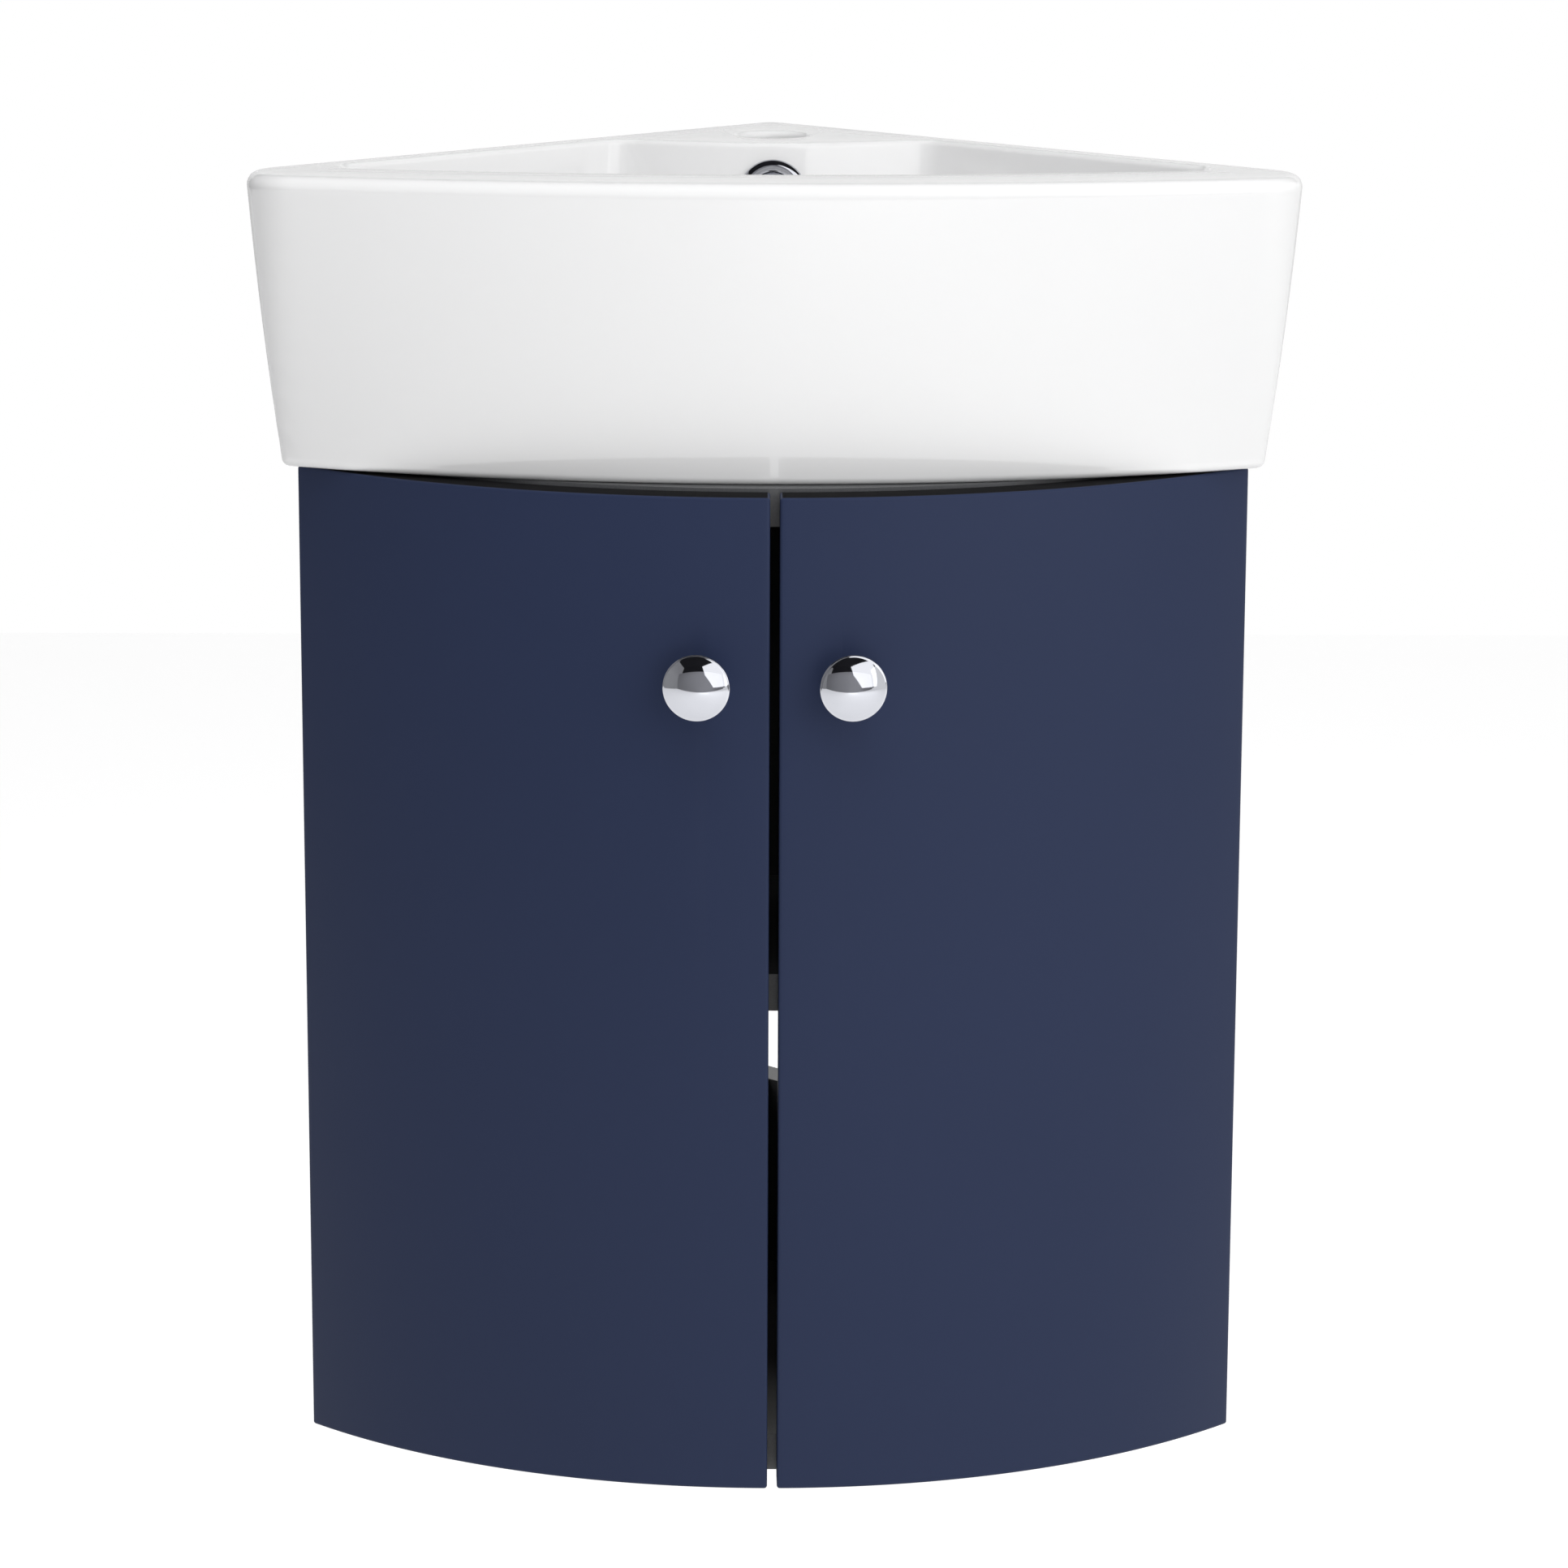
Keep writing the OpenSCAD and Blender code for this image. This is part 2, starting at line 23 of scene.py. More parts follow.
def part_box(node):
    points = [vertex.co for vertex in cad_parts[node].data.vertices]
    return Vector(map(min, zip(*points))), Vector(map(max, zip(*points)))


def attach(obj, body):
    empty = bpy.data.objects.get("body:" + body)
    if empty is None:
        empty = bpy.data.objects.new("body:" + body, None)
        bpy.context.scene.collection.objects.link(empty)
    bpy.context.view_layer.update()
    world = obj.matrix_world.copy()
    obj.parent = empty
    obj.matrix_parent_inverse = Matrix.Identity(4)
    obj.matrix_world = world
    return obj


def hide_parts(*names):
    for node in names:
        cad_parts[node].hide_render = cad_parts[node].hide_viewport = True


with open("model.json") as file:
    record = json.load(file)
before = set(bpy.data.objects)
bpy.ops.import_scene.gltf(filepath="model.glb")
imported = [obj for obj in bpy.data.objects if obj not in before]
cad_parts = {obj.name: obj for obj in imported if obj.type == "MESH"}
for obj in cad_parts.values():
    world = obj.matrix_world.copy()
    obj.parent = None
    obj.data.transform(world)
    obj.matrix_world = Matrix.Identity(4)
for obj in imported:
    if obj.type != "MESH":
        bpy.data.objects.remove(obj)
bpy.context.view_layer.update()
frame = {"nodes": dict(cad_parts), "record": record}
nodes = frame["nodes"]

# %% [markdown]
# ## Camera
#
# The photograph was taken with a long lens from a little over a metre above the floor, straight
# at the corner and tipped down by about 12 degrees. A short lens would make the doors' upright
# edges lean in strongly, and a level one would hide the bowl. The place and tilt here were
# worked out from the doors' arcs, the rim and the gap between the doors, so the render can be
# laid over the photograph.

# %% Camera
CAMERA_PLACE = (-0.0208, -2.7140, 0.8773)
CAMERA_YAW = 0.0106       # radians, to the right
CAMERA_PITCH = 0.2182     # radians, downwards
CAMERA_ROLL = 0.0038      # radians
LENS = 120.6              # mm
SENSOR_WIDTH = 36         # mm

camera_data = bpy.data.cameras.new("camera")
camera_data.lens = LENS
camera_data.sensor_width = SENSOR_WIDTH
camera = bpy.data.objects.new("camera", camera_data)
camera.matrix_world = (
    Matrix.Translation(CAMERA_PLACE)
    @ Matrix.Rotation(-CAMERA_YAW, 4, "Z")
    @ Matrix.Rotation(math.pi / 2 - CAMERA_PITCH, 4, "X")
    @ Matrix.Rotation(CAMERA_ROLL, 4, "Z")
)
bpy.context.scene.collection.objects.link(camera)
bpy.context.scene.camera = camera
looks_along = camera.matrix_world.to_3x3() @ Vector((0, 0, -1))
print("camera looks along", [round(c, 3) for c in looks_along])

# %% [markdown]
# ## A shared finish
#
# No real surface is one flat colour. Glaze pools a little, lacquer has a fine orange peel, and
# board has speckle. All of that is the same effect at different scales: a broad drift and a
# fine grain. It could be painted for each material, but one node group with named inputs
# keeps it in one place. It reads Object coordinates, so it stays put when a door turns.

# %% The node group for drift and grain
def make_mottle_group():
    group = bpy.data.node_groups.new("mottle", "ShaderNodeTree")
    for name, value in (("Broad Scale", 8.0), ("Fine Scale", 300.0), ("Stretch", 1.0)):
        socket = group.interface.new_socket(name, in_out="INPUT", socket_type="NodeSocketFloat")
        socket.default_value = value
    for name in ("Broad", "Fine"):
        group.interface.new_socket(name, in_out="OUTPUT", socket_type="NodeSocketFloat")
    source = group.nodes.new("NodeGroupInput")
    result = group.nodes.new("NodeGroupOutput")
    place = group.nodes.new("ShaderNodeTexCoord")
    stretch = group.nodes.new("ShaderNodeCombineXYZ")
    stretch.inputs["X"].default_value = 1
    stretch.inputs["Y"].default_value = 1
    group.links.new(source.outputs["Stretch"], stretch.inputs["Z"])
    scaled = group.nodes.new("ShaderNodeVectorMath")
    scaled.operation = "MULTIPLY"
    group.links.new(place.outputs["Object"], scaled.inputs[0])
    group.links.new(stretch.outputs["Vector"], scaled.inputs[1])
    for name, detail in (("Broad", 3.0), ("Fine", 2.0)):
        noise = group.nodes.new("ShaderNodeTexNoise")
        noise.inputs["Detail"].default_value = detail
        group.links.new(scaled.outputs["Vector"], noise.inputs["Vector"])
        group.links.new(source.outputs[name + " Scale"], noise.inputs["Scale"])
        group.links.new(noise.outputs["Fac"], result.inputs[name])
    return group


mottle = make_mottle_group()
print("node group:", mottle.name)

# %% A finish made with that group
NOISE_SPAN = (0.3, 0.7)   # a noise value mostly lies between these


def finish(name, shades, roughness, broad=8.0, fine=300.0, stretch=1.0,
           bump=0.1, bump_depth=0.0002, colour_from="Broad", **sockets):
    """A Principled material whose colour, roughness and bump all follow the shared mottle."""
    material = bpy.data.materials.new(name)
    material.use_nodes = True
    tree = material.node_tree
    shader = tree.nodes["Principled BSDF"]
    for socket, value in sockets.items():
        shader.inputs[socket.replace("_", " ")].default_value = value
    spots = tree.nodes.new("ShaderNodeGroup")
    spots.node_tree = mottle
    spots.inputs["Broad Scale"].default_value = broad
    spots.inputs["Fine Scale"].default_value = fine
    spots.inputs["Stretch"].default_value = stretch

    colour = tree.nodes.new("ShaderNodeMix")
    colour.data_type = "RGBA"
    colour.inputs["A"].default_value = (*shades[0], 1)
    colour.inputs["B"].default_value = (*shades[1], 1)
    tree.links.new(spots.outputs[colour_from], colour.inputs["Factor"])
    tree.links.new(colour.outputs["Result"], shader.inputs["Base Color"])

    gloss = tree.nodes.new("ShaderNodeMapRange")
    gloss.inputs["From Min"].default_value = NOISE_SPAN[0]
    gloss.inputs["From Max"].default_value = NOISE_SPAN[1]
    gloss.inputs["To Min"].default_value = roughness[0]
    gloss.inputs["To Max"].default_value = roughness[1]
    tree.links.new(spots.outputs["Broad"], gloss.inputs["Value"])
    tree.links.new(gloss.outputs["Result"], shader.inputs["Roughness"])

    grain = tree.nodes.new("ShaderNodeBump")
    grain.inputs["Strength"].default_value = bump
    grain.inputs["Distance"].default_value = bump_depth
    tree.links.new(spots.outputs["Fine"], grain.inputs["Height"])
    tree.links.new(grain.outputs["Normal"], shader.inputs["Normal"])
    print("finish:", name)
    return material


# %% [markdown]
# ## The finishes
#
# Glaze is a clear glass skin on a white body: nearly mirror-sharp, with the faintest drift in
# colour. The lacquer is satin, so its reflections are wide and soft, and its colour is a deep
# navy that only shows as blue where light falls on it. The carcass board is a mid grey
# melamine with a speckle. Chrome and nickel are metals: their colour is their reflection.
# Along the doors' top faces, between the lacquer and the basin, the lacquer gives way to a
# near-black,
# dull colour: painted shade for the deep shade under the basin.

# %% Materials
glaze = finish("white_glaze", ((0.86, 0.86, 0.862), (0.89, 0.89, 0.892)), (0.05, 0.10),
               broad=5, fine=90, bump=0.02, bump_depth=0.0004, Coat_Weight=0.3, Coat_Roughness=0.03)
lacquer = finish("navy_lacquer", ((0.0205, 0.0297, 0.0675), (0.024, 0.034, 0.077)), (0.38, 0.44),
                 broad=4, fine=900, bump=0.06, bump_depth=0.0001, Specular_IOR_Level=0.12)
chrome = finish("chrome_plate", ((0.51, 0.52, 0.56), (0.57, 0.58, 0.62)), (0.03, 0.07),
                broad=60, fine=1500, bump=0.002, bump_depth=0.00002, Metallic=1.0)
board = finish("grey_board", ((0.075, 0.077, 0.081), (0.13, 0.132, 0.137)), (0.28, 0.38),
               broad=12, fine=1200, bump=0.12, bump_depth=0.0001, colour_from="Fine")
nickel = finish("nickel_plate", ((0.50, 0.50, 0.49), (0.66, 0.66, 0.65)), (0.22, 0.38),
                broad=90, fine=2200, stretch=0.15, bump=0.06, bump_depth=0.00005, Metallic=1.0)
beech = finish("raw_beech", ((0.42, 0.27, 0.14), (0.62, 0.44, 0.26)), (0.55, 0.7),
               broad=40, fine=900, stretch=0.2, bump=0.3)
soft_pad = finish("soft_pad", ((0.55, 0.55, 0.52), (0.70, 0.70, 0.67)), (0.35, 0.5),
                  broad=120, fine=1500, bump=0.1)

# %% Painted shade on the doors' top edges
TOP_EDGE_Z = (0.4818, 0.4820)    # painted shade replaces the lacquer between these heights
# The colour of the painted shade on the doors' top faces.
PAINTED_SHADE_COLOUR = (0.006, 0.006, 0.007)

# Painted shade: above TOP_EDGE_Z the lacquer's colour is mixed to near black and its roughness
# raised, standing in for the shade under the basin.
tree = lacquer.node_tree
shader = tree.nodes["Principled BSDF"]
place = tree.nodes.new("ShaderNodeTexCoord")
axes = tree.nodes.new("ShaderNodeSeparateXYZ")
tree.links.new(place.outputs["Object"], axes.inputs["Vector"])
painted_shade = tree.nodes.new("ShaderNodeMapRange")
painted_shade.inputs["From Min"].default_value = TOP_EDGE_Z[0]
painted_shade.inputs["From Max"].default_value = TOP_EDGE_Z[1]
tree.links.new(axes.outputs["Z"], painted_shade.inputs["Value"])
lacquer_colour = shader.inputs["Base Color"].links[0].from_socket
shade_mix = tree.nodes.new("ShaderNodeMix")
shade_mix.data_type = "RGBA"
shade_mix.inputs["B"].default_value = (*PAINTED_SHADE_COLOUR, 1)
tree.links.new(painted_shade.outputs["Result"], shade_mix.inputs["Factor"])
tree.links.new(lacquer_colour, shade_mix.inputs["A"])
tree.links.new(shade_mix.outputs["Result"], shader.inputs["Base Color"])
dull = tree.nodes.new("ShaderNodeMath")
dull.operation = "MAXIMUM"
tree.links.new(shader.inputs["Roughness"].links[0].from_socket, dull.inputs[0])
tree.links.new(painted_shade.outputs["Result"], dull.inputs[1])
tree.links.new(dull.outputs["Value"], shader.inputs["Roughness"])
print("dark edging above z =", TOP_EDGE_Z[0])

# %% [markdown]
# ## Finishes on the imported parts
#
# Boards, hinges, screws and dowels already have their true shape, so they keep it and only
# get a material. The record gives each node's slot, and each slot has one finish here.

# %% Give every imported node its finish
FINISH_OF_SLOT = {
    "ceramic": glaze, "navy_lacquer": lacquer, "chrome": chrome, "carcass_board": board,
    "steel": nickel, "beech": beech, "soft_plastic": soft_pad,
}
for part in frame["record"]["subparts"]:
    mesh = nodes[part["node"]].data
    mesh.materials.clear()
    mesh.materials.append(FINISH_OF_SLOT[part["material_slot"]])

# %% [markdown]
# ## Helpers for making a piece
#
# Every new piece ends the same way: its mesh goes into an object at the origin, curved faces
# are shaded smooth, the piece is put under the body that carries it, and the imported node it
# stands for is hidden. Turned pieces (knobs, rings, cutters) come from one lathe: a half profile
# of radius and height, spun about the Z axis and then moved into place.

# %% Pieces and cuts
SMOOTH_BELOW = 32         # degrees between faces that are shaded as one curve


def as_object(name, bm):
    mesh = bpy.data.meshes.new(name)
    bm.to_mesh(mesh)
    bm.free()
    thing = bpy.data.objects.new(name, mesh)
    bpy.context.scene.collection.objects.link(thing)
    return thing


def make_piece(name, bm, body, slot, replaced, cuts=()):
    """Turns a bmesh into a finished piece. Each cut is (operation, bmesh)."""
    piece = as_object(name, bm)
    for operation, cutter in cuts:
        apply_boolean(piece, operation, cutter)
    mesh = piece.data
    for face in mesh.polygons:
        face.use_smooth = True
    mesh.set_sharp_from_angle(angle=math.radians(SMOOTH_BELOW))
    mesh.materials.clear()
    mesh.materials.append(FINISH_OF_SLOT[slot])
    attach(piece, body)
    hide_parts(*replaced)
    print(f"piece: {name}, {len(mesh.polygons)} faces, stands for {', '.join(replaced)}")


def apply_boolean(piece, operation, cutter_bm):
    cutter = as_object("cutter", cutter_bm)
    boolean = piece.modifiers.new("boolean", "BOOLEAN")
    boolean.operation = operation
    boolean.solver = "EXACT"
    boolean.object = cutter
    evaluated = piece.evaluated_get(bpy.context.evaluated_depsgraph_get())
    result = bpy.data.meshes.new_from_object(evaluated)
    piece.modifiers.clear()
    piece.data = result
    bpy.data.objects.remove(cutter)


# %% The lathe
LATHE_MERGE = 1e-6        # points closer than this are merged


def lathe(profile, steps, place=Matrix()):
    """Spins a profile of (radius, height) about Z, then moves it into place."""
    bm = bmesh.new()
    points = [bm.verts.new((radius, 0, height)) for radius, height in profile]
    lines = [bm.edges.new(pair) for pair in zip(points, points[1:])]
    bmesh.ops.spin(bm, geom=points + lines, cent=(0, 0, 0), axis=(0, 0, 1),
                   angle=math.tau, steps=steps, use_merge=True)
    bmesh.ops.remove_doubles(bm, verts=bm.verts, dist=LATHE_MERGE)
    bmesh.ops.transform(bm, matrix=place, verts=bm.verts)
    bmesh.ops.recalc_face_normals(bm, faces=bm.faces)
    return bm


def arc(centre, radius, start, end, steps):
    """Points of a round stretch of a profile, from start to end in degrees."""
    turns = [math.radians(start + (end - start) * i / steps) for i in range(steps + 1)]
    return [(centre[0] + radius * math.cos(turn), centre[1] + radius * math.sin(turn))
            for turn in turns]


# %% [markdown]
# ## The basin's plan
#
# Seen from above the basin is a corner: two straight sides along the walls, an arched front,
# and rounded ends. Inside it the bowl repeats that outline, but at the back its edge is the
# tap deck, which bulges forwards. Each outline here is a rule and not a list of points:
# a function says how far a point lies outside it, with each rounded corner as its own circle.
# That makes it easy to ask for the same outline a little larger, smaller or rounder.

# %% Outlines of the basin
SQRT2 = math.sqrt(2)


def corner_centre(gap, radius, arch_y, reach):
    """Centre of the circle of this radius that rounds the corner between the right wall's
    line, drawn in by gap, and the arch whose centre is at arch_y."""
    off = gap + radius
    spread = 2 * arch_y ** 2 - 4 * (off ** 2 + SQRT2 * off * arch_y + arch_y ** 2 - reach ** 2)
    along = (-SQRT2 * arch_y + math.sqrt(spread)) / 2
    return (along - off) / SQRT2, -(along + off) / SQRT2


def outside_by(x, y, plan):
    """How far points lie outside a plan: negative inside. x and y are arrays."""
    x = np.abs(x)
    gap, corner = plan["gap"], plan["corner"]
    wall = gap + (x + y) / SQRT2
    arch_y = plan["front_r"] - plan["front"]
    result = np.maximum(wall, np.hypot(x, y - arch_y) - plan["front_r"])
    cx, cy = corner_centre(gap, corner, arch_y, plan["front_r"] - corner)
    outward = Vector((cx, cy - arch_y)).normalized()
    beyond_wall = (x - cx) - (y - cy) > 0
    beyond_arch = (x - cx) * -outward.y + (y - cy) * outward.x > 0
    result = np.where(beyond_wall & beyond_arch, np.hypot(x - cx, y - cy) - corner, result)
    if "deck" in plan:
        deck_y, deck_r, blend = plan["deck"]
        result = np.maximum(result, deck_r - np.hypot(x, y - deck_y))
        cx, cy = corner_centre(gap, blend, deck_y, deck_r + blend)
        inward = Vector((cx, cy - deck_y)).normalized()
        before_wall = (x - cx) - (y - cy) < 0
        beside_deck = (x - cx) * -inward.y + (y - cy) * inward.x > 0
        result = np.where(before_wall & beside_deck, np.hypot(x - cx, y - cy) - blend, result)
    else:
        apex = plan["apex"]
        apex_y = -(gap + apex) * SQRT2
        result = np.where(y - apex_y > x, np.hypot(x, y - apex_y) - apex, result)
    return result


# %% [markdown]
# ## Turning the basin
#
# The basin is one skin that folds back on itself: from the foot up the outside, over the
# rim, down the bowl, out through the waste hole, and back under the bowl to the foot. It could
# be pieced together from extrusions, but the folds are what make it look like ceramic, so
# it is turned instead. A chain of points is spun into a tube round the waste hole, as a
# potter would throw it, and each ring of the tube is then pressed out to its own outline.

# %% Sizes of the basin
basin_low, basin_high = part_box("basin")
FOOT_Z = basin_low.z
RIM_Z = basin_high.z
# In a plan, gap is the distance from the walls, front the arch's reach from the room corner
# and front_r its radius. corner rounds the two ends and apex the back.
RIM = dict(gap=0, front=0.315, front_r=0.900, corner=0.029, apex=0.012)
FOOT = dict(gap=0, front=0.294, front_r=0.540, corner=0.006, apex=0.010)
APRON_BULGE = 0.04        # how far the apron bows out, as a share of its flare
RIM_SIDE_W = 0.017        # the flat rim's width along the walls
BOWL_FRONT = 0.269
BOWL_FRONT_R = 0.850
BOWL_CORNER = 0.015
BOWL_DEPTH = 0.104
BOWL_INSET = 0.062        # how far the bowl's walls come in, from the mouth to the floor
DECK_Y = 0.019            # centre of the deck's front arc
DECK_R = 0.140
DECK_DRAFT = 0.015        # how far the deck's front leans out over the bowl's depth
DECK_BLEND = 0.014        # rounding between the deck's front and the bowl's sides
CERAMIC_T = 0.009
FOOT_WALL_T = 0.011
ROOF_DROP = 0.014         # thickness of the deck
RIM_ROUND = 0.006
MOUTH_ROUND = 0.003
FOOT_ROUND = 0.004
SMALLEST_CORNER = 0.003
WASTE_Y = -0.166
WASTE_R = 0.0225
WASTE_ROUND = 0.003
FLOOR_FALL = 0.002        # how far the bowl's floor falls to the waste
BOSS_R = 0.0325
BOSS_Z = 0.5035
TURNS = 560               # columns round the basin
FARTHEST = 0.6            # past every outline, seen from the waste's axis
HALVINGS = 30             # steps of the search for an outline

# %% Spread the columns, closer together where the outline turns
even = np.linspace(0, math.tau, 4 * TURNS, endpoint=False)


def press_out(angles, plan):
    """Distance from the waste's axis to a plan's outline, along each angle."""
    near, beyond = np.zeros_like(angles), np.full_like(angles, FARTHEST)
    for _ in range(HALVINGS):
        middle = (near + beyond) / 2
        inside = outside_by(middle * np.cos(angles), WASTE_Y + middle * np.sin(angles), plan) < 0
        near, beyond = np.where(inside, middle, near), np.where(inside, beyond, middle)
    return near


def between(low, high, share):
    """An outline part of the way from one plan to another. The arch is mixed by its bend."""
    plan = {key: low[key] + share * (high[key] - low[key]) for key in low}
    plan["front_r"] = 1 / ((1 - share) / low["front_r"] + share / high["front_r"])
    return plan


def spread_columns(plans, pull=0.04):
    """Angles at even steps of length plus turning, added up over some outlines. pull is the
    length that counts as much as one radian of turning."""
    weight = np.zeros_like(even)
    for plan in plans:
        points = press_out(even, plan) * np.exp(1j * even)
        step = np.roll(points, -1) - points
        turn = np.abs(np.angle(np.roll(step, -1) / step))
        weight += np.cumsum(np.abs(step) + pull * turn)
    wanted = np.linspace(0, weight[-1], TURNS, endpoint=False)
    return np.interp(wanted, np.concatenate(([0], weight)), np.append(even, math.tau))


columns = spread_columns([RIM, between(FOOT, RIM, 0.5), FOOT])
print("columns:", len(columns))

# %% Smaller outlines, and the bowl's
def shrink(plan, inset):
    """The same outline, drawn in all round."""
    smaller = dict(plan)
    smaller["gap"] += inset
    smaller["front"] -= inset
    smaller["front_r"] -= inset
    smaller["corner"] = max(smaller["corner"] - inset, SMALLEST_CORNER)
    smaller["apex"] = max(smaller["apex"] - inset, SMALLEST_CORNER)
    return smaller


def bowl_plan(turned, grow=0.0):
    """The bowl's outline where its wall has turned by this angle, from 0 at the mouth to a
    right angle at the floor. grow gives the outside of the ceramic round it."""
    inset = BOWL_INSET * (1 - math.cos(turned))
    depth = (BOWL_DEPTH + grow) * math.sin(turned)
    return dict(gap=RIM_SIDE_W - grow + inset, front=BOWL_FRONT + grow - inset,
                front_r=BOWL_FRONT_R, corner=BOWL_CORNER + inset / 3,
                deck=(DECK_Y, DECK_R + DECK_DRAFT * depth / BOWL_DEPTH - grow,
                      DECK_BLEND + inset / 2))


# %% Rings from the foot over the rim
rings = []                # each is (distances from the waste's axis, height)

# The first and last of these lie close to the apron's ends, so that the shading of the
# rounded edges doesn't spread over it.
APRON_SHARES = (0.01, *np.linspace(0, 1, 9)[1:-1], 0.99)


def add_ring(reach, height):
    rings.append((np.broadcast_to(reach, columns.shape), np.broadcast_to(height, columns.shape)))


def add_plan(plan, height):
    add_ring(press_out(columns, plan), height)


def quarter_turn(step):
    """Angles from 0 to a right angle, a step of so many degrees apart, in radians."""
    return [math.radians(degrees) for degrees in range(0, 91, step)]


for turned in quarter_turn(15):
    add_plan(shrink(FOOT, FOOT_ROUND * (1 - math.sin(turned))),
             FOOT_Z + FOOT_ROUND * (1 - math.cos(turned)))
for share in APRON_SHARES:
    height = FOOT_Z + FOOT_ROUND + share * (RIM_Z - RIM_ROUND - FOOT_Z - FOOT_ROUND)
    bowed = share + APRON_BULGE * 4 * share * (1 - share)
    add_plan(between(FOOT, RIM, bowed), height)
for turned in quarter_turn(15):
    add_plan(shrink(RIM, RIM_ROUND * (1 - math.cos(turned))),
             RIM_Z - RIM_ROUND * (1 - math.sin(turned)))
print("rings up to the rim:", len(rings))

# %% Rings down the bowl to the waste
for turned in quarter_turn(15):
    mouth = bowl_plan(0, MOUTH_ROUND * (1 - math.sin(turned)))
    add_plan(mouth, RIM_Z - MOUTH_ROUND * (1 - math.cos(turned)))
for turned in quarter_turn(9)[1:]:
    add_plan(bowl_plan(turned), RIM_Z - BOWL_DEPTH * math.sin(turned))
floor_z = RIM_Z - BOWL_DEPTH
floor_reach = rings[-1][0]
waste_lip = WASTE_R + WASTE_ROUND
for share in (0.35, 0.7, 0.9):
    add_ring(floor_reach + share * (waste_lip - floor_reach), floor_z - FLOOR_FALL * share)
for turned in quarter_turn(30):
    add_ring(WASTE_R + WASTE_ROUND * (1 - math.sin(turned)),
             floor_z - FLOOR_FALL - WASTE_ROUND * (1 - math.cos(turned)))
add_ring(WASTE_R, BOSS_Z)
add_ring(BOSS_R, BOSS_Z)
add_ring(BOSS_R, floor_z - CERAMIC_T)
print("rings down to the waste:", len(rings))

# %% Rings back underneath
SHELL_RINGS = 12

# Under the bowl the skin climbs until it meets the apron's inner side or the deck's underside.
foot_in = press_out(columns, shrink(FOOT, FOOT_WALL_T))
met = np.zeros(columns.shape, bool)
shell_reach = np.full(columns.shape, BOSS_R)
shell_z = np.full(columns.shape, floor_z - CERAMIC_T)
last_turn = math.asin(ROOF_DROP / (BOWL_DEPTH + CERAMIC_T))
for turned in np.linspace(math.pi / 2, last_turn, SHELL_RINGS):
    reach = press_out(columns, bowl_plan(turned, CERAMIC_T))
    height = RIM_Z - (BOWL_DEPTH + CERAMIC_T) * math.sin(turned)
    shell_z = np.where(met, shell_z, height)
    shell_reach = np.where(met, shell_reach, np.minimum(reach, foot_in))
    met = met | (reach >= foot_in)
    add_ring(shell_reach, shell_z)
add_ring(foot_in, shell_z)
add_ring(foot_in, FOOT_Z)
print("rings:", len(rings), "columns:", TURNS)

# %% Spin the tube and press it to shape
SKIN_MERGE = 2e-5         # points of the skin closer than this are merged

bm = bmesh.new()
chain = [bm.verts.new((1, 0, level)) for level in range(len(rings))]
links = [bm.edges.new((chain[i], chain[i - 1])) for i in range(len(chain))]
bmesh.ops.spin(bm, geom=chain + links, cent=(0, 0, 0), axis=(0, 0, 1),
               angle=math.tau, steps=TURNS, use_merge=True)
for vert in bm.verts:
    column = round(math.atan2(vert.co.y, vert.co.x) / math.tau * TURNS) % TURNS
    reach, height = (values[column] for values in rings[round(vert.co.z)])
    angle = columns[column]
    vert.co = (reach * math.cos(angle), WASTE_Y + reach * math.sin(angle), height)
bmesh.ops.remove_doubles(bm, verts=bm.verts, dist=SKIN_MERGE)
bmesh.ops.recalc_face_normals(bm, faces=bm.faces)
print("basin skin:", len(bm.faces), "faces")

# %% [markdown]
# ## Holes in the basin
#
# The tap hole and the overflow are punched while the clay is soft, so their edges are round
# and full of glaze. A plain cylinder would leave a sharp edge, so the tap hole's cutter is
# turned with a trumpet mouth, which rounds the edge in the same cut. The overflow's edge is
# hidden by its ring, and a plain cutter does there. Behind the overflow there is a thick boss
# that holds its channel, and it is joined on before the hole is made.

# %% Sizes of the holes
TAP_Y = -0.076
TAP_R = 0.0175
TAP_EDGE = 0.003
TAP_DEEP = 0.03
OVERFLOW_DROP = 0.0247    # below the rim
OVERFLOW_R = 0.012
OVERFLOW_DEEP = 0.015
OVERFLOW_BOSS_R = 0.020
OVERFLOW_BOSS = (-0.022, -0.004)    # its back and its front, behind the bowl's wall
CUT_PAST = 0.01           # how far a cutter reaches past the surface
HOLE_STEPS = 96
BOSS_STEPS = 48
overflow_lean = math.atan(DECK_DRAFT / BOWL_DEPTH)
overflow_y = DECK_Y - DECK_R - DECK_DRAFT * OVERFLOW_DROP / BOWL_DEPTH
on_overflow = (Matrix.Translation((0, overflow_y, RIM_Z - OVERFLOW_DROP))
               @ Matrix.Rotation(math.pi / 2 - overflow_lean, 4, "X"))
print("overflow leans back by", round(math.degrees(overflow_lean), 1), "degrees")

# %% The basin
def trumpet(radius, edge, below, above):
    """The profile of a hole cutter whose mouth, at height 0, is rounded."""
    return ([(0, -below), (radius, -below)]
            + arc((radius + edge, -edge), edge, 180, 90, 6)
            + [(radius + edge, above), (0, above)])


def plug(radius, low, high):
    """The profile of a plain cylinder."""
    return [(0, low), (radius, low), (radius, high), (0, high)]


tap_cutter = lathe(trumpet(TAP_R, TAP_EDGE, TAP_DEEP, CUT_PAST), HOLE_STEPS,
                   Matrix.Translation((0, TAP_Y, RIM_Z)))
boss = lathe(plug(OVERFLOW_BOSS_R, *OVERFLOW_BOSS), BOSS_STEPS, on_overflow)
overflow_cutter = lathe(plug(OVERFLOW_R, -OVERFLOW_DEEP, CUT_PAST), HOLE_STEPS, on_overflow)
make_piece("basin_glazed", bm, "carcass", "ceramic", ["basin"],
           [("UNION", boss), ("DIFFERENCE", overflow_cutter), ("DIFFERENCE", tap_cutter)])

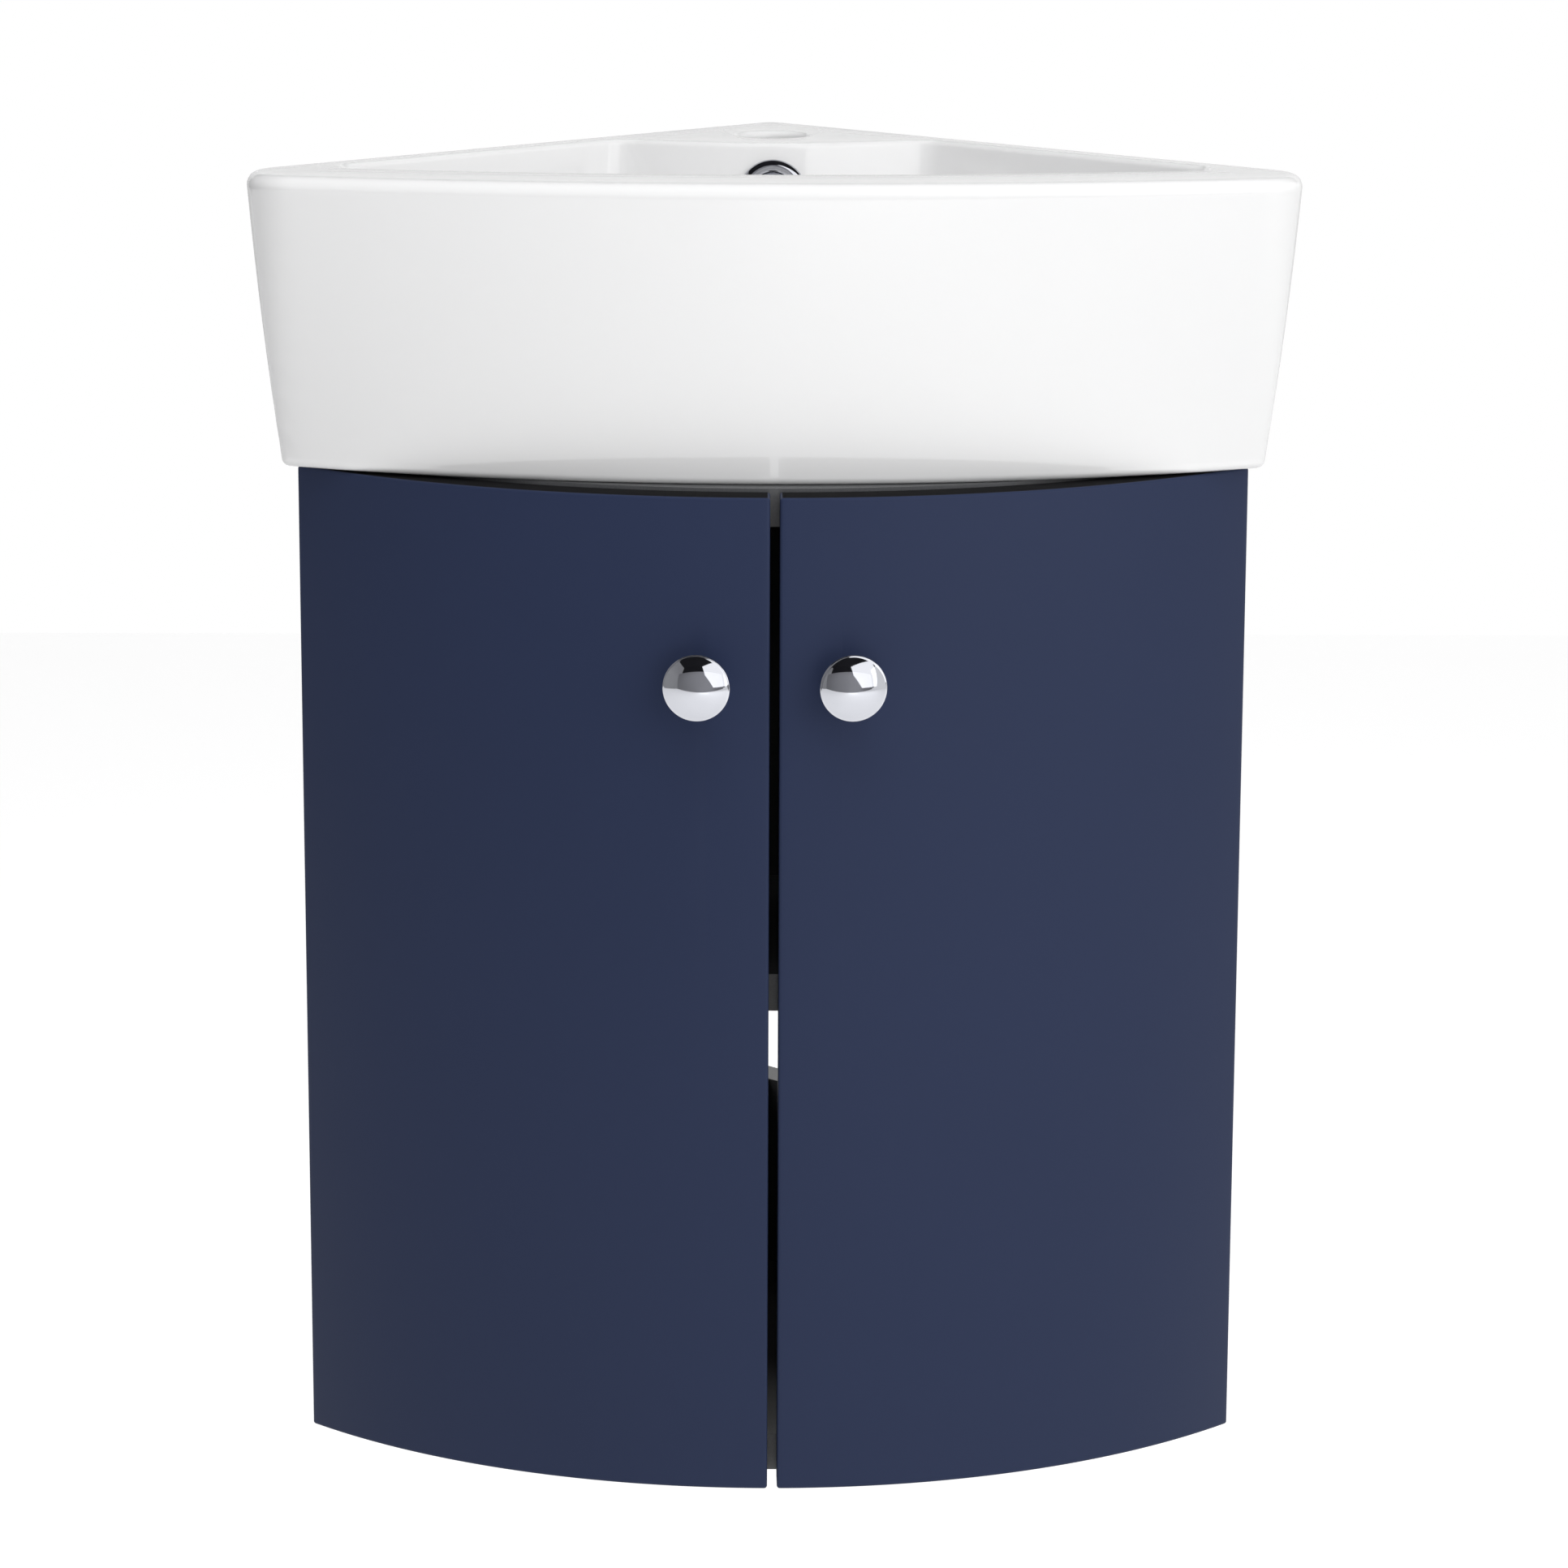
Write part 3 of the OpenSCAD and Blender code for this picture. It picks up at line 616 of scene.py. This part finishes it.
# %% [markdown]
# ## The overflow ring
#
# A thin chrome ring hides the raw edge of the overflow hole. It has a rolled flange that
# sits on the glaze, and it steps inwards to a smaller ring deeper in the hole, which is why the
# photograph shows dark and bright circles inside each other. The flange and the sleeve behind
# it are turned in one profile, and the inner step in another that is joined on.

# %% The overflow ring
RING_R = 0.017
RING_BORE = 0.0103
RING_SLEEVE = 0.0118      # outer radius of the part in the hole
RING_DEEP = 0.012
FLANGE_ROUND = 0.0035
FLANGE_BACK = (-0.0004, 0.0001)     # height of its back at the outer edge and at the sleeve
ring_profile = ([(RING_BORE, -RING_DEEP), (RING_BORE, -0.0020)]
                + arc((RING_R - FLANGE_ROUND, FLANGE_BACK[1]), FLANGE_ROUND, 150, 0, 14)
                + [(RING_R, FLANGE_BACK[0]), (RING_SLEEVE, FLANGE_BACK[1]),
                   (RING_SLEEVE, -RING_DEEP), (RING_BORE, -RING_DEEP)])
step_profile = [(RING_BORE, -0.0075), (0.0075, -0.0060), (0.0070, -0.0066), (0.0070, -0.0090),
                (RING_BORE, -0.0090), (RING_BORE, -0.0075)]
ring = lathe(ring_profile, HOLE_STEPS, on_overflow)
make_piece("overflow_ring_turned", ring, "carcass", "chrome", ["overflow_ring"],
           [("UNION", lathe(step_profile, HOLE_STEPS, on_overflow))])

# %% [markdown]
# ## The bowed doors
#
# Each door is a slab bent to the cabinet's radius, 18 mm thick, lacquered, with painted shade on
# its top face, and with every edge softened by hand. A flat slab with a bend modifier would do, but
# spinning the door's own section about the room corner gives the true arc and square ends at
# once. The edges are then bevelled together, and the hinge cups' pockets and the knob screw's
# hole are cut out.

# %% Sizes of the doors
DOOR_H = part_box("door_right")[1].z
DOOR_R = 0.323
DOOR_T = 0.018
DOOR_GAP = 0.0045
WALL_GAP = 0.0008
DOOR_EDGE_R = 0.0015
DOOR_STEPS = 60
KNOB_ANGLE = 6.1          # degrees from the middle, about the room corner
KNOB_Z = 0.396
HINGE_INSET = 0.075
CUP_R = 0.0175
CUP_DEPTH = 0.0116
CUP_FROM_WALL = 0.0245
CUP_STEPS = 64
CUP_FLANGE_R = 0.0185     # the cup's flat flange spans the door's hollow inner face
CUP_OFF = 0.0001          # and stands this far off it
SCREW_HOLE_R = 0.0023
SCREW_HOLE_STEPS = 24
CUTTER_PAST = 0.002       # how far a cutter reaches past the door's faces
SQUARE_EDGE = 60          # degrees: sharper edges than this are softened
door_inner_r = DOOR_R - DOOR_T
door_mid_r = DOOR_R - DOOR_T / 2
meet_angle = math.asin(DOOR_GAP / 2 / door_mid_r)
end_angle = math.pi / 4 - math.asin(WALL_GAP / door_mid_r)
cup_angle = math.pi / 4 - math.asin(CUP_FROM_WALL / door_inner_r)
cup_seat = door_inner_r * math.cos(math.asin(CUP_FLANGE_R / door_inner_r)) - CUP_OFF
print("a door spans", round(math.degrees(end_angle - meet_angle), 1), "degrees")

# %% A door, and places on it
def on_door(side, angle, height, out):
    """A place on a door whose local z points out of it. side is 1 for the right, -1 left."""
    place = (Matrix.Rotation(angle - math.pi / 2, 4, "Z") @ Matrix.Translation((out, 0, height))
             @ Matrix.Rotation(math.pi / 2, 4, "Y"))
    return Matrix.Diagonal((side, 1, 1, 1)) @ place


def make_door(name, side, body, replaced):
    """Spins a door's section into a slab, softens its edges and cuts its holes."""
    bm = bmesh.new()
    section = [bm.verts.new((r, 0, z)) for r, z in (
        (door_inner_r, 0), (DOOR_R, 0), (DOOR_R, DOOR_H), (door_inner_r, DOOR_H))]
    slab = bm.faces.new(section)
    bmesh.ops.rotate(bm, verts=section, cent=(0, 0, 0),
                     matrix=Matrix.Rotation(meet_angle - math.pi / 2, 3, "Z"))
    bmesh.ops.spin(bm, geom=[slab] + slab.verts[:] + slab.edges[:], cent=(0, 0, 0),
                   axis=(0, 0, 1), angle=end_angle - meet_angle, steps=DOOR_STEPS)
    bmesh.ops.scale(bm, vec=(side, 1, 1), verts=bm.verts)
    bmesh.ops.recalc_face_normals(bm, faces=bm.faces)
    edges = [edge for edge in bm.edges if len(edge.link_faces) == 2
             and edge.calc_face_angle() > math.radians(SQUARE_EDGE)]
    bmesh.ops.bevel(bm, geom=edges, offset=DOOR_EDGE_R, offset_type="OFFSET", segments=5,
                    profile=0.5, affect="EDGES", material=-1, clamp_overlap=True)
    pockets = [lathe(plug(CUP_R, -CUTTER_PAST, CUP_DEPTH), CUP_STEPS,
                     on_door(side, cup_angle, height, cup_seat))
               for height in (HINGE_INSET, DOOR_H - HINGE_INSET)]
    screw_hole = lathe(plug(SCREW_HOLE_R, -CUTTER_PAST, DOOR_T + CUTTER_PAST), SCREW_HOLE_STEPS,
                       on_door(side, math.radians(KNOB_ANGLE), KNOB_Z, door_inner_r))
    make_piece(name, bm, body, "navy_lacquer", [replaced],
               [("DIFFERENCE", cutter) for cutter in pockets + [screw_hole]])


# %% The two doors
make_door("door_right_lacquered", 1, "right_door", "door_right")
make_door("door_left_lacquered", -1, "left_door", "door_left")

# %% [markdown]
# ## The knobs
#
# A knob like this is turned from brass and plated: a small foot on the door, a waisted stem,
# and a wide domed head with a thin lip round its back edge. The dome's curve decides how much
# of the room it mirrors, so it is a true arc and not a flattened sphere. The lip's fine
# rounding catches the bright line that outlines the knob in the photograph.

# %% The knobs
KNOB_R = 0.0157
KNOB_REACH = 0.025
KNOB_FOOT_R = 0.0072
KNOB_FOOT_ROUND = 0.0006
# Radius and height up the waisted stem.
KNOB_STEM = [(0.0062, 0.0022), (0.0053, 0.0045), (0.0050, 0.0070), (0.0056, 0.0100),
             (0.0078, 0.0132)]
DOME_H = 0.0055
LIP_T = 0.0016
LIP_ROUND = 0.0007
KNOB_OFF = 0.00005        # a hair of air between the knob's foot and the lacquer
KNOB_STEPS = 128
head_back = KNOB_REACH - DOME_H - LIP_T
dome_edge_r = KNOB_R - LIP_ROUND
dome_r = (dome_edge_r ** 2 + DOME_H ** 2) / (2 * DOME_H)
dome_span = math.degrees(math.asin(dome_edge_r / dome_r))
knob_profile = (
    [(0, 0), (KNOB_FOOT_R, 0)]
    + arc((KNOB_FOOT_R, KNOB_FOOT_ROUND), KNOB_FOOT_ROUND, -90, 60, 5)
    + KNOB_STEM
    + [(0.0108, head_back - 0.0012), (0.0132, head_back - 0.0002)]
    + arc((dome_edge_r, head_back + LIP_ROUND), LIP_ROUND, -90, 0, 5)
    + arc((dome_edge_r, head_back + LIP_T - LIP_ROUND), LIP_ROUND, 0, 90, 5)
    + arc((0, KNOB_REACH - dome_r), dome_r, 90 - dome_span, 90, 24)
)
for side, body, node in ((1, "right_door", "knob_right"), (-1, "left_door", "knob_left")):
    place = on_door(side, math.radians(KNOB_ANGLE), KNOB_Z, DOOR_R + KNOB_OFF)
    make_piece(node + "_turned", lathe(knob_profile, KNOB_STEPS, place), body, "chrome", [node])

# %% [markdown]
# ## Studio
#
# The unit hangs on two walls, which aren't shown, so it floats over a pale floor as far below
# as its height in use asks. The light is plain: a large softbox up to the right, one overhead
# that fills the bowl, weak ones to the left and low in front, and an even sky. What a
# mirror-like knob shows is the room, so the room has a dark ceiling and dim walls that only
# reflections can see. The wall on the left is solid to light as well, and holds back the sky
# on that side. A pale card behind the unit serves the flat top of the basin: seen at such a
# low angle, the top would mirror the white sky and vanish against it.

# %% Materials that look brighter than the light they give
def seen_strength(tree, unseen, seen):
    """A strength that is seen for camera, mirror and glass rays, and unseen for all others."""
    path = tree.nodes.new("ShaderNodeLightPath")
    mirrored = tree.nodes.new("ShaderNodeMath")
    mirrored.operation = "MAXIMUM"
    tree.links.new(path.outputs["Is Camera Ray"], mirrored.inputs[0])
    tree.links.new(path.outputs["Is Glossy Ray"], mirrored.inputs[1])
    refracted = tree.nodes.new("ShaderNodeMath")
    refracted.operation = "MAXIMUM"
    tree.links.new(mirrored.outputs["Value"], refracted.inputs[0])
    tree.links.new(path.outputs["Is Transmission Ray"], refracted.inputs[1])
    strength = tree.nodes.new("ShaderNodeMapRange")
    strength.inputs["To Min"].default_value = unseen
    strength.inputs["To Max"].default_value = seen
    tree.links.new(refracted.outputs["Value"], strength.inputs["Value"])
    return strength.outputs["Result"]


def plain_material(name, colour, roughness, glow=0.0):
    material = bpy.data.materials.new(name)
    material.use_nodes = True
    tree = material.node_tree
    shader = tree.nodes["Principled BSDF"]
    shader.inputs["Base Color"].default_value = (*colour, 1)
    shader.inputs["Roughness"].default_value = roughness
    shader.inputs["Specular IOR Level"].default_value = 0.1
    if glow:
        shader.inputs["Emission Color"].default_value = (1, 1, 1, 1)
        tree.links.new(seen_strength(tree, 0, glow), shader.inputs["Emission Strength"])
    return material


# %% The stage's materials
pale_floor = plain_material("pale_floor", (0.80, 0.80, 0.80), 0.9, glow=0.56)
dark_card = plain_material("dark_card", (0.03, 0.03, 0.035), 0.9)
dim_card = plain_material("dim_card", (0.55, 0.55, 0.56), 0.9)
wall_card = plain_material("wall_card", (0.45, 0.45, 0.47), 0.9)
pale_card = plain_material("pale_card", (0.95, 0.95, 0.95), 0.9, glow=0.15)
print("stage materials:", [m.name for m in (pale_floor, dark_card, dim_card, wall_card, pale_card)])

# %% The floor and the cards
FLOOR_Z = -0.22
FLOOR_SIZE = 6.0


def flat_card(name, size, place, material):
    bm = bmesh.new()
    bmesh.ops.create_grid(bm, x_segments=1, y_segments=1, size=size / 2, matrix=place)
    card = as_object(name, bm)
    card.data.materials.append(material)
    return card


def on_edge(x, y, z, axis):
    """A place for a card that is stood on its edge by a quarter turn about an axis."""
    return Matrix.Translation((x, y, z)) @ Matrix.Rotation(math.pi / 2, 4, axis)


flat_card("floor", FLOOR_SIZE, Matrix.Translation((0, 0, FLOOR_Z)), pale_floor)
cards = [
    flat_card("ceiling_card", 10, Matrix.Translation((0, -1, 3.6)), dark_card),
    flat_card("far_wall_card", 10, on_edge(0, -3.4, 4.78, "X"), dark_card),
    flat_card("low_wall_card", 6.3, on_edge(0, -2.65, -1.25, "X"), wall_card),
    flat_card("back_wall_card", 10, on_edge(0, 4, 7.0, "X"), dark_card),
    flat_card("low_back_card", 5, on_edge(0, 2.9, -0.5, "X"), pale_card),
]
for card in cards:
    card.visible_diffuse = False
    card.visible_shadow = False
left_wall = flat_card("left_wall", 10, on_edge(-3.2, -1, 4.78, "Y"), dim_card)
for card in cards + [left_wall]:
    card.visible_camera = False
print("cards:", [card.name for card in cards + [left_wall]])

# %% The sky
WORLD_LIGHT = 0.48        # the strength it lights with
WORLD_SEEN = 1.0          # and the one it is seen with

world = bpy.data.worlds.new("studio")
bpy.context.scene.world = world
world.use_nodes = True
background = world.node_tree.nodes["Background"]
background.inputs["Color"].default_value = (1, 1, 1, 1)
world.node_tree.links.new(seen_strength(world.node_tree, WORLD_LIGHT, WORLD_SEEN),
                          background.inputs["Strength"])
print("sky lights with", WORLD_LIGHT)

# %% Lamps
AIM = Vector((0, -0.25, 0.35))


def softbox(name, azimuth, elevation, distance, size, power):
    """A square area lamp aimed at the unit. azimuth is degrees to the right of the front."""
    lamp_data = bpy.data.lights.new(name, "AREA")
    lamp_data.size = size
    lamp_data.energy = power
    lamp = bpy.data.objects.new(name, lamp_data)
    turn, tilt = math.radians(azimuth), math.radians(elevation)
    towards = Vector((math.sin(turn) * math.cos(tilt), -math.cos(turn) * math.cos(tilt),
                      math.sin(tilt)))
    lamp.location = AIM + distance * towards
    lamp.rotation_euler = towards.to_track_quat("Z", "Y").to_euler()
    bpy.context.scene.collection.objects.link(lamp)
    return lamp


softbox("key", azimuth=40, elevation=23, distance=2.4, size=2.4, power=27)
fill = softbox("fill", azimuth=-75, elevation=30, distance=2.8, size=1.8, power=5)
bounce = softbox("bounce", azimuth=8, elevation=-4, distance=2.3, size=0.8, power=5.5)
overhead = softbox("overhead", azimuth=0, elevation=72, distance=2.4, size=1.6, power=23)
for lamp in (fill, bounce, overhead):
    lamp.visible_glossy = False   # the knobs mirror the room and not these

# %% View
view = bpy.context.scene.view_settings
view.view_transform = "Standard"
print("view transform:", view.view_transform)
